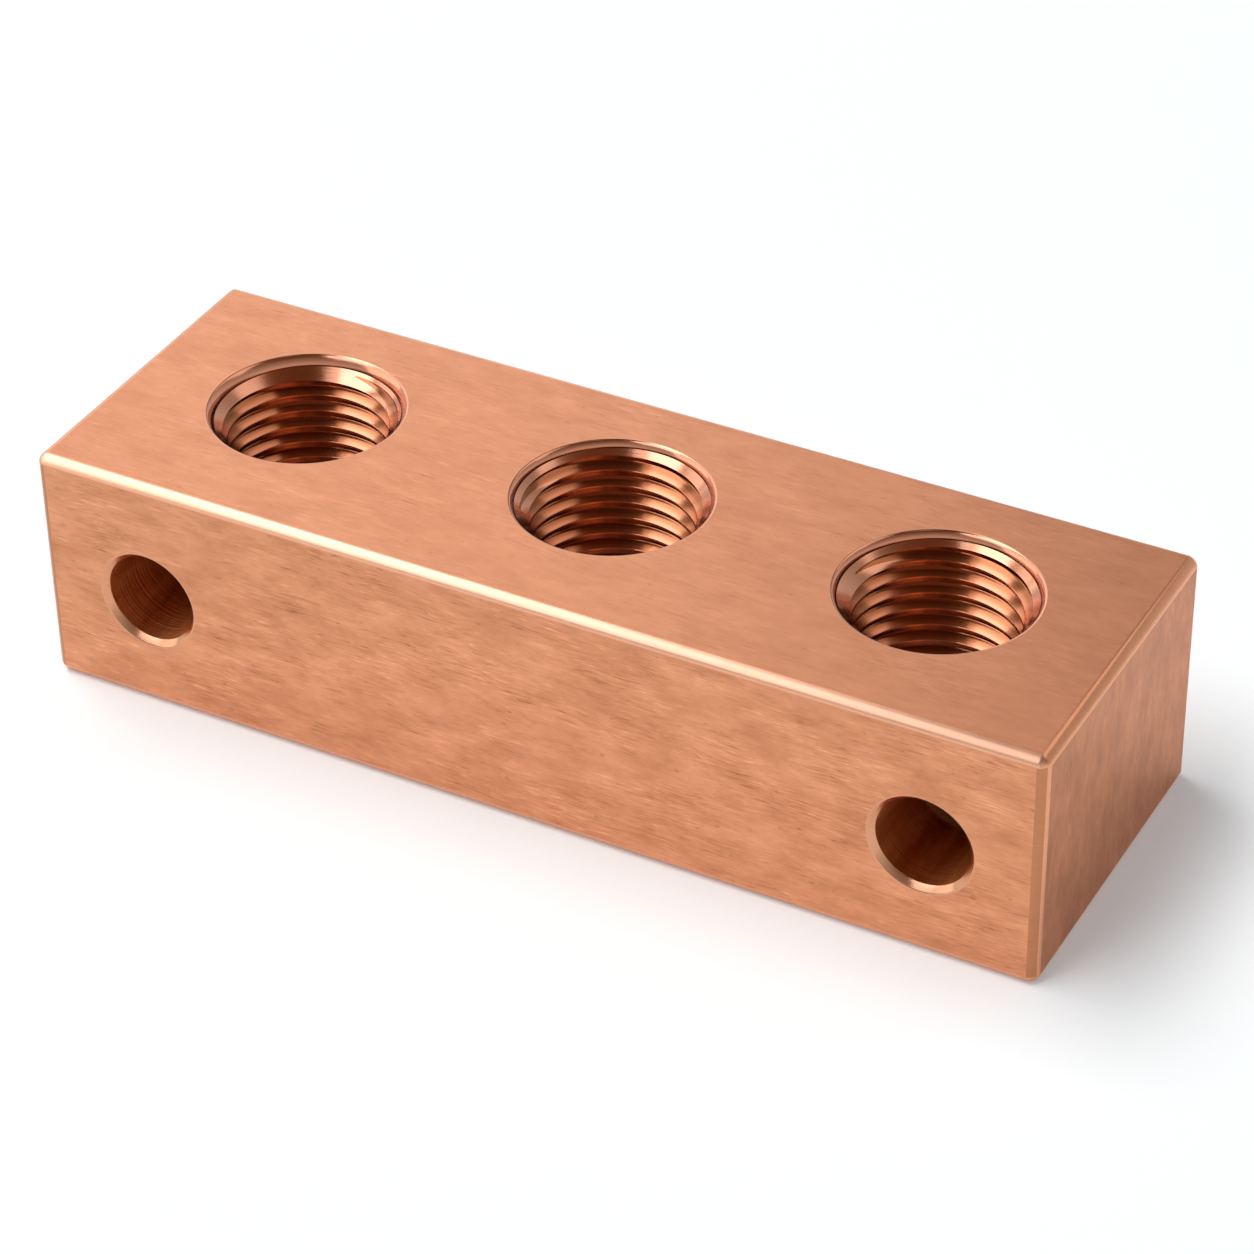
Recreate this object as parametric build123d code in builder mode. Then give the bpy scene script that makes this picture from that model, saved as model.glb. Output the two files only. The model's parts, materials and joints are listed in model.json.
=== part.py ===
"""Busbar connection block: one solid copper bar with tapped terminal holes and blind side holes."""
from build123d import *
from math import radians, tan
import os

os.makedirs("parts", exist_ok=True)

# Bar: length along X, width along Y, height along Z, origin in the middle of its base
block_length = 72.0
block_width = 24.0
block_height = 17.5
edge_chamfer = 0.5

# Terminal holes, tapped M12 x 1.25 right through the height. The wall is the tap drill's,
# which is where the crests of the thread lie. The row stands a little behind the middle.
terminal_count = 3
terminal_spacing = 23.0
terminal_row_offset = 0.9
tap_drill_diameter = 10.8
countersink_diameter = 13.3

# Side holes: plain and blind, drilled from the front face, one outside each end terminal
side_hole_spacing = 56.0
side_hole_height = 8.3
side_hole_diameter = 6.4
side_hole_depth = 6.3
side_mouth_diameter = 7.2
drill_point_angle = 118.0

countersink_depth = (countersink_diameter - tap_drill_diameter) / 2
side_mouth_depth = (side_mouth_diameter - side_hole_diameter) / 2
drill_point_length = side_hole_diameter / 2 / tan(radians(drill_point_angle / 2))
front_face = -block_width / 2

with BuildPart() as connection_block:
    # Sawn and milled bar, every outer edge chamfered
    with BuildSketch(Plane.XY):
        Rectangle(block_length, block_width)
    extrude(amount=block_height)
    chamfer(connection_block.edges(), length=edge_chamfer)

    # Terminal bores, countersunk at both faces
    with Locations(Plane.XY.offset(block_height)):
        with Locations((0, terminal_row_offset)):
            with GridLocations(terminal_spacing, 0, terminal_count, 1):
                Hole(radius=tap_drill_diameter / 2)
    chamfer(connection_block.edges().filter_by(GeomType.CIRCLE), length=countersink_depth)

    # Side holes: half of the drilled outline, mouth chamfer to drill point, turned about its axis
    for side_hole_x in (-side_hole_spacing / 2, side_hole_spacing / 2):
        mouth_centre = (side_hole_x, front_face, side_hole_height)
        with BuildSketch(Plane(origin=mouth_centre, x_dir=(1, 0, 0), z_dir=(0, 0, 1))):
            with BuildLine():
                Polyline(
                    (0, 0),
                    (side_mouth_diameter / 2, 0),
                    (side_hole_diameter / 2, side_mouth_depth),
                    (side_hole_diameter / 2, side_hole_depth),
                    (0, side_hole_depth + drill_point_length),
                    close=True,
                )
            make_face()
        revolve(axis=Axis(mouth_centre, (0, 1, 0)), mode=Mode.SUBTRACT)

connection_block.part.label = "connection_block"
export_step(connection_block.part, "parts/connection_block.step")

print(f"Volume {connection_block.part.volume:.1f} cubic mm")
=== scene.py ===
"""Looks of a copper busbar connection block: machined edges, cut threads, hole mouths and brushed faces."""
import bpy
import json
from math import ceil, cos, pi, radians, sin, tau
from mathutils import Matrix, Vector

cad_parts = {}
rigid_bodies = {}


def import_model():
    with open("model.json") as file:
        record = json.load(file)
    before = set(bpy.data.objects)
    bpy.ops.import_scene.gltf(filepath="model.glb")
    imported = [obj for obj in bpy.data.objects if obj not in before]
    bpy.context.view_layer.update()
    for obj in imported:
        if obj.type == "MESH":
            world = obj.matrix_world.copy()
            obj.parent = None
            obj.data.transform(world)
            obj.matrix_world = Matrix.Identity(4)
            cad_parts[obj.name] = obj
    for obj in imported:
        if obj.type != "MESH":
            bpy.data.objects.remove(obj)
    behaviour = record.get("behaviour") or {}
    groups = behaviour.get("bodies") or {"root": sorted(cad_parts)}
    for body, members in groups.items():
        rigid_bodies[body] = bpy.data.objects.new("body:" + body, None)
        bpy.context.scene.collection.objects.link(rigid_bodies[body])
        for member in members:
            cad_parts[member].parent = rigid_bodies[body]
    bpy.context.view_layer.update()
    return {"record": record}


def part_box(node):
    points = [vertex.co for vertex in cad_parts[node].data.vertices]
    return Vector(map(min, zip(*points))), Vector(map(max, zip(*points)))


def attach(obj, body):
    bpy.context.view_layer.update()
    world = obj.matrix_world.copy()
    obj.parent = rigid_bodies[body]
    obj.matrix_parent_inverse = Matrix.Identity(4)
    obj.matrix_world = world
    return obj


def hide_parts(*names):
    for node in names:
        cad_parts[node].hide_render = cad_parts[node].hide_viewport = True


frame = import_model()

MM = 0.001

# The bar and its holes, where the construction has them
block_low, block_high = [Vector(corner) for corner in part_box("connection_block")]
block_centre = (block_low + block_high) / 2
block_extent = block_high - block_low
mounts = {mount["name"]: mount for mount in frame["record"]["mounts"]}
terminals = [mounts[name] for name in ("terminal_left", "terminal_middle", "terminal_right")]
side_holes = [mounts[name] for name in ("side_hole_left", "side_hole_right")]

# Outer edges: a milled chamfer whose own two edges are softened by deburring
edge_chamfer = 0.5 * MM
edge_softening = 0.18 * MM
edge_softening_steps = 4

# M12 x 1.25 thread: its crests are the tap drill's wall, its grooves reach the major diameter
thread_pitch = 1.25 * MM
groove_root_radius = 6.0 * MM
groove_mouth_width = 1.13 * MM
groove_root_width = 0.36 * MM
root_softening_share = 0.12
crest_softening = 0.04 * MM
turns_past_the_bar = 4

# How far below the top face the first groove runs, on the wall that faces the camera
far_wall_angle = radians(118)
first_groove_depths = (0.67 * MM, 1.03 * MM, 0.92 * MM)

# Hole mouths: a narrow broken edge, a fine step, then the countersink
countersink_radius = 6.65 * MM
broken_edges = (0.44 * MM, 0.30 * MM, 0.31 * MM)
broken_edge_steepness = 1.4
countersink_step = 0.09 * MM

# The rounded rim of a mouth, and its points as shares of that rounding, outward and up
mouth_softening = 0.08 * MM
rim_rounding = ((-0.71, -0.71), (0.08, -0.18), (1.05, 0.01))

# Side holes, which end in a drill point
side_mouth_radius = 3.6 * MM
side_hole_depth = 6.3 * MM
drill_point_length = 1.92 * MM

# How the cutters are made
cutter_overshoot = 0.5 * MM
facets_round_a_hole = 96
merge_distance = 1e-7

# How squarely a face looks along an axis or a chamfer, which tells the bar's faces apart
square_on = 0.999
nearly_upright = 0.02
chamfer_lean = 0.69
# How far round from the front top chamfer its painted highlight reaches
highlight_reach = 0.85
bore_wall_lean = 0.1

# Edges that turn by less than this are shaded smooth
smoothing_angle = radians(35)


def deselect_everything():
    if bpy.context.object and bpy.context.object.mode != "OBJECT":
        bpy.ops.object.mode_set(mode="OBJECT")
    bpy.ops.object.select_all(action="DESELECT")


def select_only(piece):
    deselect_everything()
    piece.select_set(True)
    bpy.context.view_layer.objects.active = piece


# Finishes

# The value that noise varies about
noise_middle = 0.5

# Tool marks: fine ones over broader ones, how far they stand out, and the bends of a hand-held brush
broad_to_fine_scale = 0.22
fine_mark_share = 0.85
broad_mark_share = 0.15
usual_mark_contrast = 0.9
deepest_mark_contrast = 60.0
bends_per_metre = 260.0

# Tone: cloudy patches, clusters of marks that were pressed harder, and dark specks
patches_per_metre = 600.0
clusters_per_metre = 330.0
cluster_limits = (0.35, 0.65)
cluster_strengths = (0.3, 1.7)
specks_per_metre = 3200.0
speck_limits = (0.72, 0.82)
speck_brown = (0.20, 0.06, 0.03, 1.0)

# How much of the marks' stretch the cloudy patches share, and the thin clear film on the metal
patch_lay = 0.3
film_index = 1.8


def node(tree, kind, **settings):
    made = tree.nodes.new(kind)
    for name, value in settings.items():
        setattr(made, name, value)
    return made


def feed(tree, socket, value):
    """Links another node's output to a socket, or sets the socket to a plain value."""
    if isinstance(value, bpy.types.NodeSocket):
        tree.links.new(value, socket)
    else:
        socket.default_value = value


def math_node(tree, operation, *values):
    made = node(tree, "ShaderNodeMath", operation=operation)
    for socket, value in zip(made.inputs, values):
        feed(tree, socket, value)
    return made.outputs[0]


def noise(tree, vector, scale, detail, roughness=0.5, output="Fac"):
    made = node(tree, "ShaderNodeTexNoise")
    settings = {"Vector": vector, "Scale": scale, "Detail": detail, "Roughness": roughness}
    for name, value in settings.items():
        feed(tree, made.inputs[name], value)
    return made.outputs[output]


def spread(tree, value, limits, results=(0.0, 1.0), curve="LINEAR"):
    """Carries a value from between two limits to between two results."""
    made = node(tree, "ShaderNodeMapRange", interpolation_type=curve)
    names = ("Value", "From Min", "From Max", "To Min", "To Max")
    for name, given in zip(names, (value, *limits, *results)):
        feed(tree, made.inputs[name], given)
    return made.outputs["Result"]


def mixed_colour(tree, share, first, second):
    """The first colour where the share is 0, and the second where it is 1."""
    made = node(tree, "ShaderNodeMix", data_type="RGBA")
    # This node has several sockets of each name, so the colour ones are taken by their number
    share_socket, first_socket, second_socket, result_socket = 0, 6, 7, 2
    feed(tree, made.inputs[share_socket], share)
    feed(tree, made.inputs[first_socket], first)
    feed(tree, made.inputs[second_socket], second)
    return made.outputs[result_socket]


def stretched(tree, vector, scale):
    """A pattern's place, drawn out along each axis whose scale is small."""
    made = node(tree, "ShaderNodeMapping")
    feed(tree, made.inputs["Scale"], scale)
    feed(tree, made.inputs["Vector"], vector)
    return made.outputs["Vector"]


def add_sockets(group, in_out, kind, *names):
    for name in names:
        group.interface.new_socket(name=name, in_out=in_out, socket_type=kind)


def place_group(tree, group, values):
    """Puts a node group in a material with its own values, and gives back its outputs."""
    made = node(tree, "ShaderNodeGroup", node_tree=group)
    for name, value in values.items():
        feed(tree, made.inputs[name], value)
    return made.outputs


def tool_marks_group():
    """Fine parallel marks of a brush, cutter or drill, drawn out along whatever the vector leaves small."""
    group = bpy.data.node_groups.new("tool_marks", "ShaderNodeTree")
    add_sockets(group, "INPUT", "NodeSocketVector", "Vector")
    add_sockets(group, "INPUT", "NodeSocketFloat", "Marks per metre")
    add_sockets(group, "OUTPUT", "NodeSocketFloat", "Mask", "Height")
    given = node(group, "NodeGroupInput").outputs
    result = node(group, "NodeGroupOutput").inputs
    fine = noise(group, given["Vector"], given["Marks per metre"], detail=3.0, roughness=0.6)
    broad_scale = math_node(group, "MULTIPLY", given["Marks per metre"], broad_to_fine_scale)
    broad = noise(group, given["Vector"], broad_scale, detail=2.0, roughness=0.6)
    fine_part = math_node(group, "MULTIPLY", fine, fine_mark_share)
    broad_part = math_node(group, "MULTIPLY", broad, broad_mark_share)
    height = math_node(group, "ADD", fine_part, broad_part)
    signed = math_node(group, "SUBTRACT", height, noise_middle)
    usual = math_node(group, "MULTIPLY", signed, usual_mark_contrast)
    cubed = math_node(group, "POWER", signed, 3.0)
    deepest = math_node(group, "MULTIPLY", cubed, deepest_mark_contrast)
    contrast = math_node(group, "ADD", usual, deepest)
    feed(group, result["Mask"], math_node(group, "ADD", contrast, noise_middle))
    feed(group, result["Height"], height)
    return group


def copper_tone_group():
    """Bare copper that has been handled: a slow drift of tone, cloudy patches and small dark specks."""
    group = bpy.data.node_groups.new("copper_tone", "ShaderNodeTree")
    add_sockets(group, "INPUT", "NodeSocketVector", "Vector")
    add_sockets(group, "INPUT", "NodeSocketColor", "Bright", "Dull")
    add_sockets(group, "INPUT", "NodeSocketFloat", "Marks", "Patchiness", "Mark strength", "Specks")
    add_sockets(group, "OUTPUT", "NodeSocketColor", "Color")
    given = node(group, "NodeGroupInput").outputs
    result = node(group, "NodeGroupOutput").inputs
    patches = noise(group, given["Vector"], patches_per_metre, detail=5.0, roughness=0.65)
    patch_drift = math_node(group, "SUBTRACT", patches, noise_middle)
    patch_share = math_node(group, "MULTIPLY", patch_drift, given["Patchiness"])
    clusters = noise(group, given["Vector"], clusters_per_metre, detail=2.0)
    pressure = spread(group, clusters, cluster_limits, cluster_strengths)
    pressed = math_node(group, "MULTIPLY", given["Mark strength"], pressure)
    mark_drift = math_node(group, "SUBTRACT", given["Marks"], noise_middle)
    mark_share = math_node(group, "MULTIPLY", mark_drift, pressed)
    shares = math_node(group, "ADD", patch_share, mark_share)
    dullness = math_node(group, "ADD", shares, noise_middle)
    tone = mixed_colour(group, dullness, given["Bright"], given["Dull"])
    grains = noise(group, given["Vector"], specks_per_metre, detail=1.0)
    speck_mask = spread(group, grains, speck_limits)
    speck_share = math_node(group, "MULTIPLY", speck_mask, given["Specks"])
    feed(group, result["Color"], mixed_colour(group, speck_share, tone, speck_brown))
    return group


def waver_group():
    """Bends straight tool marks a little, as a hand-held brush does."""
    group = bpy.data.node_groups.new("waver", "ShaderNodeTree")
    add_sockets(group, "INPUT", "NodeSocketVector", "Vector")
    add_sockets(group, "INPUT", "NodeSocketFloat", "Amount")
    add_sockets(group, "OUTPUT", "NodeSocketVector", "Vector")
    given = node(group, "NodeGroupInput").outputs
    result = node(group, "NodeGroupOutput").inputs
    bends = noise(group, given["Vector"], bends_per_metre, detail=1.0, output="Color")
    centred = node(group, "ShaderNodeVectorMath", operation="SUBTRACT")
    feed(group, centred.inputs[0], bends)
    feed(group, centred.inputs[1], (noise_middle, noise_middle, noise_middle))
    sized = node(group, "ShaderNodeVectorMath", operation="SCALE")
    feed(group, sized.inputs["Vector"], centred.outputs["Vector"])
    feed(group, sized.inputs["Scale"], given["Amount"])
    moved = node(group, "ShaderNodeVectorMath", operation="ADD")
    feed(group, moved.inputs[0], given["Vector"])
    feed(group, moved.inputs[1], sized.outputs["Vector"])
    feed(group, result["Vector"], moved.outputs["Vector"])
    return group


def groove_depth_group():
    """How deep a point lies in a thread groove, from its distance to the axis of its own hole."""
    group = bpy.data.node_groups.new("groove_depth", "ShaderNodeTree")
    add_sockets(group, "INPUT", "NodeSocketVector", "Vector")
    add_sockets(group, "INPUT", "NodeSocketFloat", "Unshaded radius", "Fully shaded radius")
    add_sockets(group, "OUTPUT", "NodeSocketFloat", "Mask")
    given = node(group, "NodeGroupInput").outputs
    result = node(group, "NodeGroupOutput").inputs
    left_axis = Vector(terminals[0]["pos_m"])
    middle_axis = Vector(terminals[1]["pos_m"])
    half_spacing = (middle_axis.x - left_axis.x) / 2
    parts = node(group, "ShaderNodeSeparateXYZ")
    feed(group, parts.inputs["Vector"], given["Vector"])
    sideways = math_node(group, "SUBTRACT", parts.outputs["X"], middle_axis.x)
    sideways = math_node(group, "WRAP", sideways, half_spacing, -half_spacing)
    backward = math_node(group, "SUBTRACT", parts.outputs["Y"], middle_axis.y)
    sideways_squared = math_node(group, "POWER", sideways, 2.0)
    backward_squared = math_node(group, "POWER", backward, 2.0)
    squares = math_node(group, "ADD", sideways_squared, backward_squared)
    distance = math_node(group, "SQRT", squares)
    radii = (given["Unshaded radius"], given["Fully shaded radius"])
    feed(group, result["Mask"], spread(group, distance, radii, curve="SMOOTHSTEP"))
    return group


tool_marks = tool_marks_group()
copper_tone = copper_tone_group()
waver = waver_group()
groove_depth = groove_depth_group()


def copper_finish(name, bright, dull, mark_stretch, marks_per_metre, smoothest, roughest, mark_depth, film,
                  patchiness=0.5, mark_strength=0.3, specks=0.4, wavering=0.0, patch_stretch=None):
    """Copper with one tool's marks: how they lie, how close and deep they are, how glossy the metal is."""
    material = bpy.data.materials.new(name)
    material.use_nodes = True
    tree = material.node_tree
    shader = tree.nodes["Principled BSDF"].inputs
    shader["Metallic"].default_value = 1.0
    shader["Coat Weight"].default_value = film
    shader["Coat Roughness"].default_value = smoothest
    shader["Coat IOR"].default_value = film_index
    place = node(tree, "ShaderNodeTexCoord").outputs["Object"]
    bent = place_group(tree, waver, {"Vector": place, "Amount": wavering})
    marks = place_group(tree, tool_marks, {
        "Vector": stretched(tree, bent["Vector"], mark_stretch),
        "Marks per metre": marks_per_metre,
    })
    patch_stretch = patch_stretch or [stretch ** patch_lay for stretch in mark_stretch]
    tone = place_group(tree, copper_tone, {
        "Vector": stretched(tree, place, patch_stretch),
        "Marks": marks["Mask"],
        "Bright": bright,
        "Dull": dull,
        "Patchiness": patchiness,
        "Mark strength": mark_strength,
        "Specks": specks,
    })
    bump = node(tree, "ShaderNodeBump")
    feed(tree, bump.inputs["Distance"], mark_depth)
    feed(tree, bump.inputs["Height"], marks["Height"])
    feed(tree, shader["Base Color"], tone["Color"])
    feed(tree, shader["Roughness"], spread(tree, marks["Mask"], (0.0, 1.0), (smoothest, roughest)))
    feed(tree, shader["Normal"], bump.outputs["Normal"])
    return material


def paint_groove_shade(material, stain, unshaded_radius, fully_shaded_radius):
    """Paints shade into the copper of a thread: darker towards the bottom of its grooves, where shade falls.
    """
    tree = material.node_tree
    base_colour = tree.nodes["Principled BSDF"].inputs["Base Color"]
    bare_copper = base_colour.links[0].from_socket
    depth = place_group(tree, groove_depth, {
        "Vector": node(tree, "ShaderNodeTexCoord").outputs["Object"],
        "Unshaded radius": unshaded_radius,
        "Fully shaded radius": fully_shaded_radius,
    })
    feed(tree, base_colour, mixed_colour(tree, depth["Mask"], bare_copper, stain))


# Copper on the broad faces, as brushed and where hands have dulled it
clean_copper = (0.83, 0.382, 0.213, 1.0)
handled_copper = (0.448, 0.166, 0.074, 1.0)
clean_front = (1.0, 0.475, 0.262, 1.0)
handled_front = (0.355, 0.10, 0.028, 1.0)
end_copper = (0.80, 0.325, 0.145, 1.0)
handled_end = (0.30, 0.078, 0.014, 1.0)

# Copper on the chamfers
edge_copper = (0.84, 0.385, 0.21, 1.0)
edge_shade = (0.68, 0.285, 0.145, 1.0)
# Darker copper on the upright chamfers: painted shade
upright_edge_painted_shade = (0.56, 0.235, 0.115, 1.0)
upright_edge_painted_shade_dull = (0.46, 0.18, 0.08, 1.0)
# Paler copper on the front top chamfer and the roundings beside it: a painted highlight that whitens and
# widens its bright line
painted_highlight_copper = (0.95, 0.53, 0.35, 1.0)
painted_highlight_dull = (0.85, 0.43, 0.265, 1.0)

# Copper in the terminal holes
inner_copper = (0.75, 0.30, 0.16, 1.0)
inner_shade = (0.60, 0.21, 0.085, 1.0)
# The thread's copper is darker than the mouths': painted shade deep in the holes
thread_copper = (0.63, 0.225, 0.105, 1.0)
thread_shade = (0.48, 0.15, 0.058, 1.0)
# The dark brown that the thread's grooves darken to is painted shade
painted_groove_shade = (0.34, 0.095, 0.026, 1.0)

# Copper in the side holes
side_mouth_copper = (0.76, 0.37, 0.21, 1.0)
side_mouth_shade = (0.58, 0.26, 0.14, 1.0)
# The bore's copper swings between these two in bands along the hole: painted reflection and shade
bored_copper = (1.0, 0.46, 0.16, 1.0)
bored_shade = (0.54, 0.14, 0.025, 1.0)
# Near black copper at the bottom of the side holes: painted shade
drill_end_painted_shade = (0.10, 0.03, 0.008, 1.0)

# Which way the marks run: they are drawn out along each axis whose number is small
along_bar = (0.07, 1.0, 1.0)
up_the_end = (1.0, 1.0, 0.12)
along_edges = (0.15, 0.15, 1.0)
round_the_hole = (0.02, 0.02, 1.0)
round_side_hole = (0.02, 1.0, 0.02)
along_side_hole = (0.5, 0.08, 0.5)

# What finishes of one kind have in common
by_hand = {"smoothest": 0.34, "roughest": 0.46, "mark_depth": 0.010 * MM, "specks": 0.35,
           "wavering": 0.6 * MM}
on_edges = {"marks_per_metre": 6000.0, "film": 0.1, "specks": 0.0}

brushed_face = copper_finish(
    "brushed_face", clean_copper, handled_copper, along_bar, marks_per_metre=8000.0, film=0.1,
    patchiness=0.75, mark_strength=0.30, **by_hand)
brushed_front = copper_finish(
    "brushed_front", clean_front, handled_front, along_bar, marks_per_metre=8000.0, film=0.1,
    patchiness=0.84, mark_strength=0.40, **by_hand)
brushed_end = copper_finish(
    "brushed_end", end_copper, handled_end, up_the_end, marks_per_metre=6000.0, film=0.0,
    patchiness=0.95, mark_strength=0.18, **by_hand)
milled_chamfer = copper_finish(
    "milled_chamfer", edge_copper, edge_shade, along_edges,
    smoothest=0.24, roughest=0.34, mark_depth=0.0015 * MM, **on_edges)
upright_chamfer_painted_shade = copper_finish(
    "upright_chamfer_painted_shade", upright_edge_painted_shade, upright_edge_painted_shade_dull, along_edges,
    smoothest=0.28, roughest=0.38, mark_depth=0.003 * MM, **on_edges)
painted_highlight_edge = copper_finish(
    "painted_highlight_edge", painted_highlight_copper, painted_highlight_dull, along_bar,
    smoothest=0.32, roughest=0.42, mark_depth=0.003 * MM, **on_edges)
turned_mouth = copper_finish(
    "turned_mouth", inner_copper, inner_shade, round_the_hole, marks_per_metre=9000.0,
    smoothest=0.14, roughest=0.24, mark_depth=0.005 * MM, film=0.80, specks=0.0)
side_mouth = copper_finish(
    "side_mouth", side_mouth_copper, side_mouth_shade, round_side_hole, marks_per_metre=9000.0,
    smoothest=0.16, roughest=0.24, mark_depth=0.005 * MM, film=0.1)
# The strong dark and light bands that run along the bore are painted reflection and shade
bored_wall = copper_finish(
    "bored_wall", bored_copper, bored_shade, round_side_hole, marks_per_metre=6000.0,
    smoothest=0.46, roughest=0.58, mark_depth=0.065 * MM, film=0.0,
    patchiness=3.2, patch_stretch=along_side_hole)
drilled_end = copper_finish(
    "drilled_end", drill_end_painted_shade, drill_end_painted_shade, round_side_hole, marks_per_metre=5000.0,
    smoothest=0.40, roughest=0.50, mark_depth=0.010 * MM, film=0.0)
cut_thread = copper_finish(
    "cut_thread", thread_copper, thread_shade, round_the_hole, marks_per_metre=9000.0,
    smoothest=0.13, roughest=0.20, mark_depth=0.003 * MM, film=0.30, specks=0.0)
# Painted shade: the thread darkens towards the bottom of its grooves
paint_groove_shade(cut_thread, painted_groove_shade, unshaded_radius=5.48 * MM, fully_shaded_radius=5.80 * MM)


def finish_faces(piece, material, wanted=lambda face: True):
    """Gives the wanted faces of a piece one material."""
    piece.data.materials.append(material)
    slot_number = len(piece.data.materials) - 1
    for face in piece.data.polygons:
        if wanted(face):
            face.material_index = slot_number


# Modelling


def milled_bar():
    """The bar before it is drilled: a cube at its size and place, chamfered, with each new edge softened."""
    front_top = Vector((0, -1, 1)).normalized()
    deselect_everything()
    bpy.ops.mesh.primitive_cube_add(size=1, location=block_centre, scale=block_extent)
    bar = bpy.context.object
    bar.name = "copper_bar"
    bpy.ops.object.transform_apply(location=True, rotation=True, scale=True)
    bpy.ops.object.mode_set(mode="EDIT")
    bpy.ops.mesh.select_all(action="SELECT")
    bpy.ops.mesh.bevel(offset=edge_chamfer, segments=1, affect="EDGES")
    bpy.ops.mesh.select_all(action="SELECT")
    bpy.ops.mesh.bevel(offset=edge_softening, segments=edge_softening_steps, profile=0.5, affect="EDGES")
    bpy.ops.object.mode_set(mode="OBJECT")

    def upright_chamfer(face):
        return abs(face.normal.z) < nearly_upright and abs(face.normal.y) > chamfer_lean

    finish_faces(bar, milled_chamfer)
    # The front top chamfer and its nearest roundings get a painted highlight
    finish_faces(bar, painted_highlight_edge, lambda face: face.normal.dot(front_top) > highlight_reach)
    # The upright chamfers get darker copper: painted shade
    finish_faces(bar, upright_chamfer_painted_shade, upright_chamfer)
    finish_faces(bar, brushed_face, lambda face: abs(face.normal.z) > square_on)
    finish_faces(bar, brushed_front, lambda face: abs(face.normal.y) > square_on)
    finish_faces(bar, brushed_end, lambda face: abs(face.normal.x) > square_on)
    return bar


def draw_outline(name, points, across, along):
    """A chain of edges from point to point, each point given as its distances across and along."""
    deselect_everything()
    places = [across * reach + along * rise for reach, rise in points]
    bpy.ops.mesh.primitive_plane_add(size=cutter_overshoot, location=(0, 0, 0))
    outline = bpy.context.object
    outline.name = name
    bpy.ops.object.mode_set(mode="EDIT")
    bpy.ops.mesh.select_all(action="SELECT")
    bpy.ops.mesh.merge(type="CENTER")
    bpy.ops.transform.translate(value=places[0])
    for start, end in zip(places, places[1:]):
        bpy.ops.mesh.extrude_region_move(TRANSFORM_OT_translate={"value": end - start})
    bpy.ops.object.mode_set(mode="OBJECT")
    return outline


def close_and_place(cutter, foot):
    """Merges doubles, closes open ends, turns the faces outwards and sets the cutter in its place."""
    select_only(cutter)
    bpy.ops.object.mode_set(mode="EDIT")
    bpy.ops.mesh.select_all(action="SELECT")
    bpy.ops.mesh.remove_doubles(threshold=merge_distance)
    bpy.ops.mesh.fill_holes(sides=0)
    bpy.ops.mesh.select_all(action="SELECT")
    bpy.ops.mesh.normals_make_consistent(inside=False)
    bpy.ops.object.mode_set(mode="OBJECT")
    bpy.ops.object.shade_smooth()
    cutter.location = foot
    bpy.ops.object.transform_apply(location=True, rotation=True, scale=True)


def turned_cutter(name, points, foot, along):
    """A solid of revolution about the line through foot, from an outline that starts and ends on it."""
    cutter = draw_outline(name, points, Vector((1, 0, 0)), along)
    bpy.ops.object.mode_set(mode="EDIT")
    bpy.ops.mesh.select_all(action="SELECT")
    bpy.ops.mesh.spin(steps=facets_round_a_hole, angle=tau, center=(0, 0, 0), axis=along)
    bpy.ops.object.mode_set(mode="OBJECT")
    close_and_place(cutter, foot)
    return cutter


def thread_cutter(name, crest_radius, axis_point, first_depth):
    """The groove of a right-hand thread: its section carried up a helix that runs past both faces."""
    inside = crest_radius - 4 * crest_softening
    depth = groove_root_radius - crest_radius
    half_mouth = groove_mouth_width / 2
    half_root = groove_root_width / 2
    # From inside the bore, round the edge of the crest, down the flank and round into the root
    lower_half = [
        (inside, -half_mouth - 2 * crest_softening),
        (crest_radius - crest_softening / 5, -half_mouth - crest_softening / 2),
        (crest_radius + crest_softening, -half_mouth + crest_softening),
        (groove_root_radius - root_softening_share * depth, -half_root - crest_softening),
        (groove_root_radius, -half_root + crest_softening),
    ]
    upper_half = [(reach, -rise) for reach, rise in reversed(lower_half)]
    section = lower_half + upper_half + lower_half[:1]
    across = Vector((cos(far_wall_angle), sin(far_wall_angle), 0))
    cutter = draw_outline(name, section, across, Vector((0, 0, 1)))
    turns = ceil(block_extent.z / thread_pitch) + turns_past_the_bar
    helix = cutter.modifiers.new("helix", "SCREW")
    helix.screw_offset = thread_pitch
    helix.iterations = turns
    helix.steps = facets_round_a_hole
    helix.render_steps = facets_round_a_hole
    helix.use_merge_vertices = True
    helix.merge_threshold = merge_distance
    bpy.ops.object.modifier_apply(modifier=helix.name)
    top_turn = block_high.z - first_depth + turns_past_the_bar / 2 * thread_pitch
    close_and_place(cutter, Vector((axis_point.x, axis_point.y, top_turn - turns * thread_pitch)))
    return cutter


def cut_away(bar, cutter):
    """Takes the cutter's shape out of the bar, and leaves the cutter's finish on the cut."""
    select_only(bar)
    cut = bar.modifiers.new("cut", "BOOLEAN")
    cut.operation = "DIFFERENCE"
    cut.solver = "MANIFOLD"
    cut.material_mode = "TRANSFER"
    cut.object = cutter
    bpy.ops.object.modifier_apply(modifier=cut.name)
    bpy.data.objects.remove(cutter)


def softened_mouth(mouth_radius):
    """Outline points of a chamfered mouth's rim, from the chamfer out to the face at height 0 and up."""
    rim = [(mouth_radius + outward * mouth_softening, upward * mouth_softening)
           for outward, upward in rim_rounding]
    rim_radius, _ = rim[-1]
    return rim + [(rim_radius, cutter_overshoot)]


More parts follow.
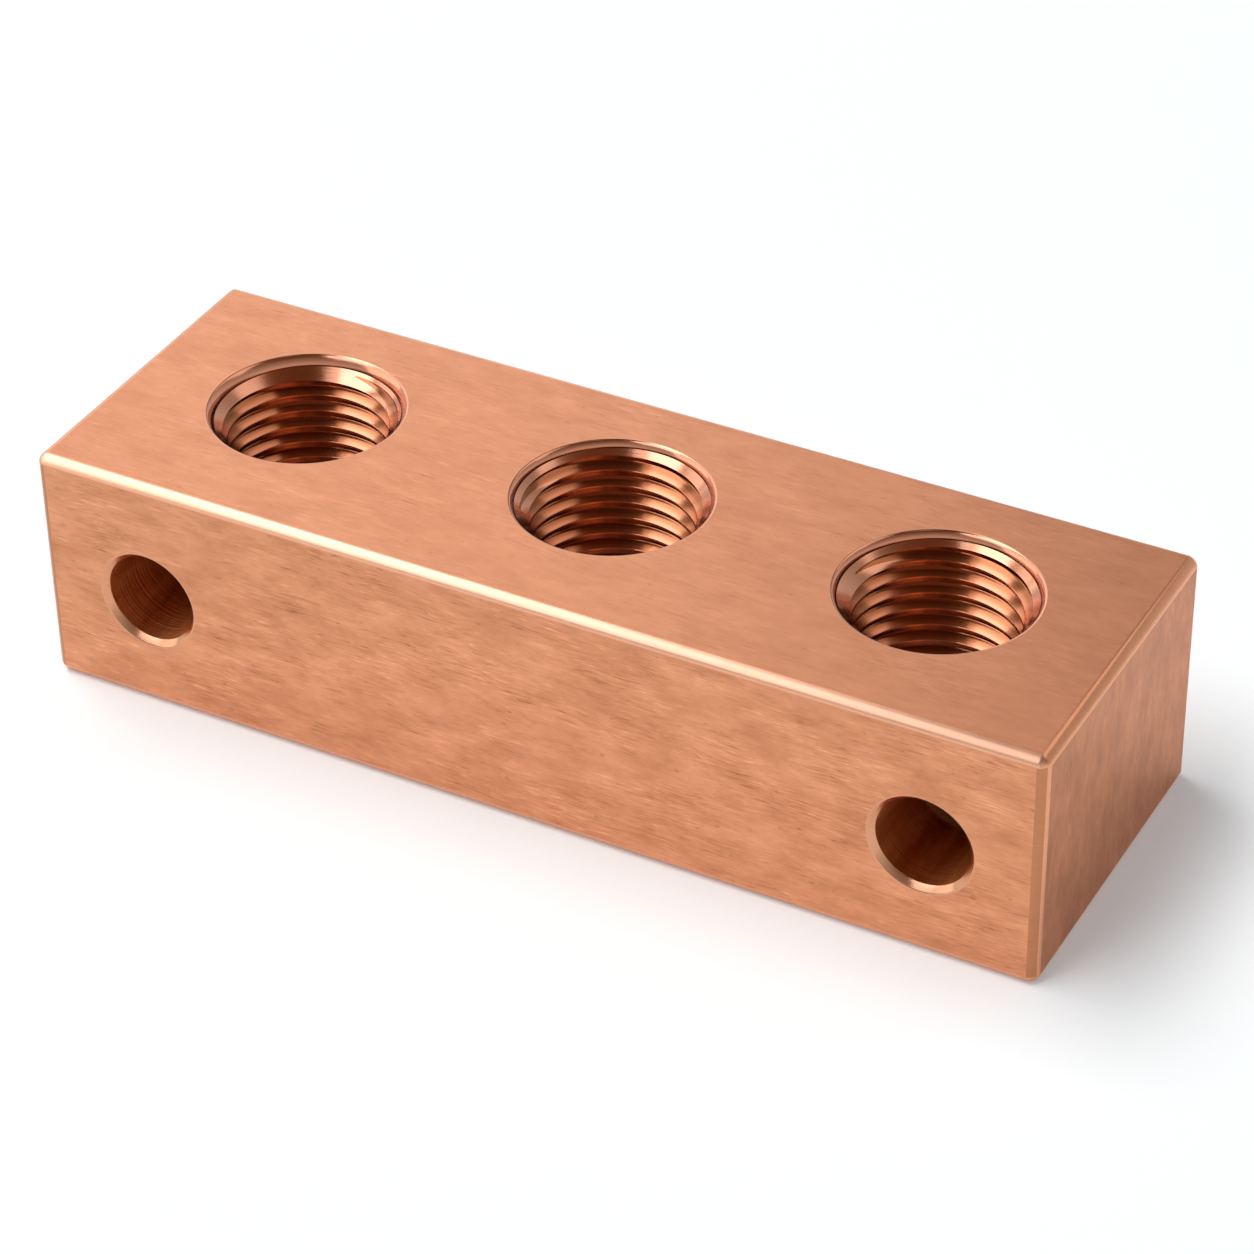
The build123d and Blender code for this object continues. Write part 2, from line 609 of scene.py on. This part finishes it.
def tapped_hole(bar, mount, first_depth, broken_edge):
    """A through hole with both mouths countersunk, then threaded."""
    bore_radius = mount["dims"]["r_mm"] * MM
    axis_point = Vector(mount["pos_m"])
    step_radius = countersink_radius - broken_edge
    height = block_extent.z
    mouth = [
        (bore_radius, bore_radius - step_radius - broken_edge * broken_edge_steepness - countersink_step),
        (step_radius, -broken_edge * broken_edge_steepness - countersink_step),
        (step_radius, -broken_edge * broken_edge_steepness),
    ]
    mouth += softened_mouth(countersink_radius)
    lower = [(reach, -rise) for reach, rise in reversed(mouth)]
    upper = [(reach, height + rise) for reach, rise in mouth]
    outline = [(0, -cutter_overshoot)] + lower + upper + [(0, height + cutter_overshoot)]
    foot = Vector((axis_point.x, axis_point.y, block_low.z))
    drill = turned_cutter("drill", outline, foot, Vector((0, 0, 1)))
    finish_faces(drill, turned_mouth)
    finish_faces(drill, cut_thread, lambda face: abs(face.normal.z) < bore_wall_lean)
    cut_away(bar, drill)
    tap = thread_cutter("tap", bore_radius, axis_point, first_depth)
    finish_faces(tap, cut_thread)
    cut_away(bar, tap)


def side_hole(bar, mount):
    """A blind hole from the front face with a small chamfer at its mouth and a drill point at its end."""
    bore_radius = mount["dims"]["r_mm"] * MM
    chamfer_depth = side_mouth_radius - bore_radius
    outline = [
        (0, -side_hole_depth - drill_point_length),
        (bore_radius, -side_hole_depth),
        (bore_radius, -chamfer_depth),
    ]
    outline += softened_mouth(side_mouth_radius) + [(0, cutter_overshoot)]
    axis_point = Vector(mount["pos_m"])
    mouth_centre = Vector((axis_point.x, block_low.y, axis_point.z))
    drill = turned_cutter("side_drill", outline, mouth_centre, Vector((0, -1, 0)))
    finish_faces(drill, side_mouth)
    finish_faces(drill, bored_wall, lambda face: face.center.y > block_low.y + chamfer_depth)
    finish_faces(drill, drilled_end, lambda face: face.center.y > block_low.y + side_hole_depth)
    cut_away(bar, drill)


def shade(bar):
    """Smooth over every rounded and turned surface, flat on the broad brushed ones."""
    select_only(bar)
    bpy.ops.object.shade_smooth_by_angle(angle=smoothing_angle)
    broad = (brushed_face.name, brushed_front.name, brushed_end.name)
    for face in bar.data.polygons:
        if bar.data.materials[face.material_index].name in broad:
            face.use_smooth = False


bar = milled_bar()
for mount, first_depth, broken_edge in zip(terminals, first_groove_depths, broken_edges):
    tapped_hole(bar, mount, first_depth, broken_edge)
for mount in side_holes:
    side_hole(bar, mount)
shade(bar)
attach(bar, "root")
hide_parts("connection_block")


# Floor, lamps and camera

# The floor: a round of white paper, and how much it glows to the camera and the metal
floor_radius = 1.5
floor_facets = 96
paper_white = (0.90, 0.90, 0.90, 1.0)
floor_glow = 0.172

# The room: what lights the paper, and what the metal sees from the horizon, 0, to straight overhead, 1
floor_surroundings = (0.238, 0.278, 0.294, 1.0)
backdrop_white = (1.0, 1.0, 1.0, 1.0)
room_colours = (
    (0.0, (0.85, 0.85, 0.85, 1.0)),
    (0.45, (0.41, 0.40, 0.39, 1.0)),
    (0.80, (0.16, 0.07, 0.03, 1.0)),
    (0.97, (0.03, 0.006, 0.001, 1.0)),
)

# The lamps' colours, and the height at which the level ones hang
plain_white = (1.0, 1.0, 1.0)
cool_white = (0.80, 0.893, 1.0)
lamp_height = 0.65

# The camera, turned and aimed as the photograph's was
camera_azimuth = 28.781
camera_elevation = 35.976
camera_roll = -1.013
camera_lens = 121.40
camera_sensor_width = 36.0
camera_distance = 0.274549
camera_aim = Vector((0.001790, -0.000719, 0.00875))
nearest_seen = 0.01
farthest_seen = 20.0


def studio_floor():
    """Lit white paper, which the camera and the metal see as white, and darker where the bar shades it."""
    deselect_everything()
    bpy.ops.mesh.primitive_circle_add(
        vertices=floor_facets, radius=floor_radius, fill_type="NGON", location=(0, 0, block_low.z))
    floor = bpy.context.object
    floor.name = "studio_floor"
    bpy.ops.object.transform_apply(location=True, rotation=True, scale=True)
    material = bpy.data.materials.new("white_paper")
    material.use_nodes = True
    tree = material.node_tree
    tree.nodes.remove(tree.nodes["Principled BSDF"])
    paper = node(tree, "ShaderNodeBsdfDiffuse")
    paper.inputs["Color"].default_value = paper_white
    glow = node(tree, "ShaderNodeEmission")
    rays = node(tree, "ShaderNodeLightPath").outputs
    seen = math_node(tree, "MAXIMUM", rays["Is Camera Ray"], rays["Is Glossy Ray"])
    seen = math_node(tree, "MAXIMUM", seen, rays["Is Transmission Ray"])
    feed(tree, glow.inputs["Strength"], math_node(tree, "MULTIPLY", seen, floor_glow))
    both = node(tree, "ShaderNodeAddShader")
    feed(tree, both.inputs[0], paper.outputs["BSDF"])
    feed(tree, both.inputs[1], glow.outputs["Emission"])
    feed(tree, tree.nodes["Material Output"].inputs["Surface"], both.outputs["Shader"])
    floor.data.materials.append(material)


def studio_world():
    """White to the camera, even to the floor, and to the metal a room that is dark overhead."""
    world = bpy.data.worlds.new("studio")
    bpy.context.scene.world = world
    world.use_nodes = True
    tree = world.node_tree
    direction = node(tree, "ShaderNodeTexCoord")
    height = node(tree, "ShaderNodeSeparateXYZ")
    feed(tree, height.inputs["Vector"], direction.outputs["Generated"])
    room = node(tree, "ShaderNodeValToRGB")
    ramp = room.color_ramp
    while len(ramp.elements) < len(room_colours):
        ramp.elements.new(1.0)
    for stop, (position, colour) in zip(ramp.elements, room_colours):
        stop.position = position
        stop.color = colour
    feed(tree, room.inputs["Fac"], height.outputs["Z"])
    rays = node(tree, "ShaderNodeLightPath").outputs
    around = mixed_colour(tree, rays["Is Diffuse Ray"], room.outputs["Color"], floor_surroundings)
    shown = mixed_colour(tree, rays["Is Camera Ray"], around, backdrop_white)
    feed(tree, tree.nodes["Background"].inputs["Color"], shown)


def panel(name, centre, width, length, brightness, colour=plain_white):
    """A flat area lamp that hangs level at its centre point, shines straight down and looks this bright."""
    lamp = bpy.data.lights.new(name, "AREA")
    lamp.color = colour
    lamp.shape = "RECTANGLE"
    lamp.size = width
    lamp.size_y = length
    lamp.energy = brightness * pi * width * length
    stand = bpy.data.objects.new(name, lamp)
    bpy.context.scene.collection.objects.link(stand)
    stand.location = centre
    return stand


def softbox(name, compass, climb, distance, width, height, brightness):
    """A panel turned to face the bar from a compass angle and a climb, both in degrees."""
    level = Vector((cos(radians(compass)), sin(radians(compass)), 0))
    direction = level * cos(radians(climb)) + Vector((0, 0, 1)) * sin(radians(climb))
    stand = panel(name, block_centre + direction * distance, width, height, brightness)
    stand.rotation_euler = direction.to_track_quat("Z", "Y").to_euler()
    return stand


def photo_camera():
    """The photograph's own view of the bar."""
    lens = bpy.data.cameras.new("camera")
    lens.lens = camera_lens
    lens.sensor_width = camera_sensor_width
    lens.clip_start = nearest_seen
    lens.clip_end = farthest_seen
    camera = bpy.data.objects.new("camera", lens)
    bpy.context.scene.collection.objects.link(camera)
    turn = Matrix.Rotation(radians(camera_azimuth), 4, "Z")
    tilt = Matrix.Rotation(radians(90.0 - camera_elevation), 4, "X")
    roll = Matrix.Rotation(radians(camera_roll), 4, "Z")
    pose = turn @ tilt @ roll
    camera.rotation_euler = pose.to_euler()
    camera.location = camera_aim + pose.to_3x3() @ Vector((0, 0, camera_distance))
    bpy.context.scene.camera = camera


studio_floor()
studio_world()

# The lamps that the copper mirrors. The cool white ones draw the bright line on the front chamfer, together
# with the painted highlight in its paler copper.
panel("key", Vector((-0.5075, -0.255, lamp_height)),
      width=0.585, length=0.69, brightness=3.65, colour=cool_white)
panel("key_side_back", Vector((-0.179, 0.13, lamp_height)), width=0.072, length=0.39, brightness=1.2)
panel("key_side_front", Vector((-0.1725, -0.38, lamp_height)), width=0.085, length=0.44, brightness=1.3)
panel("overhead", Vector((0.117, 0.0, lamp_height)), width=0.15, length=0.26, brightness=0.55)
panel("front_strip", Vector((-0.45, -0.735, lamp_height)),
      width=0.70, length=0.27, brightness=2.0, colour=cool_white)
panel("front_end", Vector((-0.065, -0.56, lamp_height)),
      width=0.11, length=0.20, brightness=3.2, colour=cool_white)
softbox("back_left", compass=142, climb=32, distance=0.5, width=0.52, height=0.30, brightness=1.12)
softbox("upper_left", compass=145, climb=60, distance=0.8, width=0.62, height=0.30, brightness=0.8)
softbox("back_right", compass=50, climb=50, distance=0.8, width=0.72, height=0.46, brightness=0.9)
softbox("left_fill", compass=-160, climb=19, distance=0.6, width=0.55, height=0.28, brightness=1.15)
for stand in bpy.context.scene.objects:
    if stand.type == "LIGHT":
        stand.visible_diffuse = False

# The lamp that lights the floor and throws the bar's shadow on it, unseen by the copper
floor_lamp = softbox(
    "floor_lamp", compass=-158, climb=67, distance=2.5, width=2.75, height=0.95, brightness=6.6)
floor_lamp.visible_glossy = False

photo_camera()
bpy.context.scene.view_settings.view_transform = "Standard"
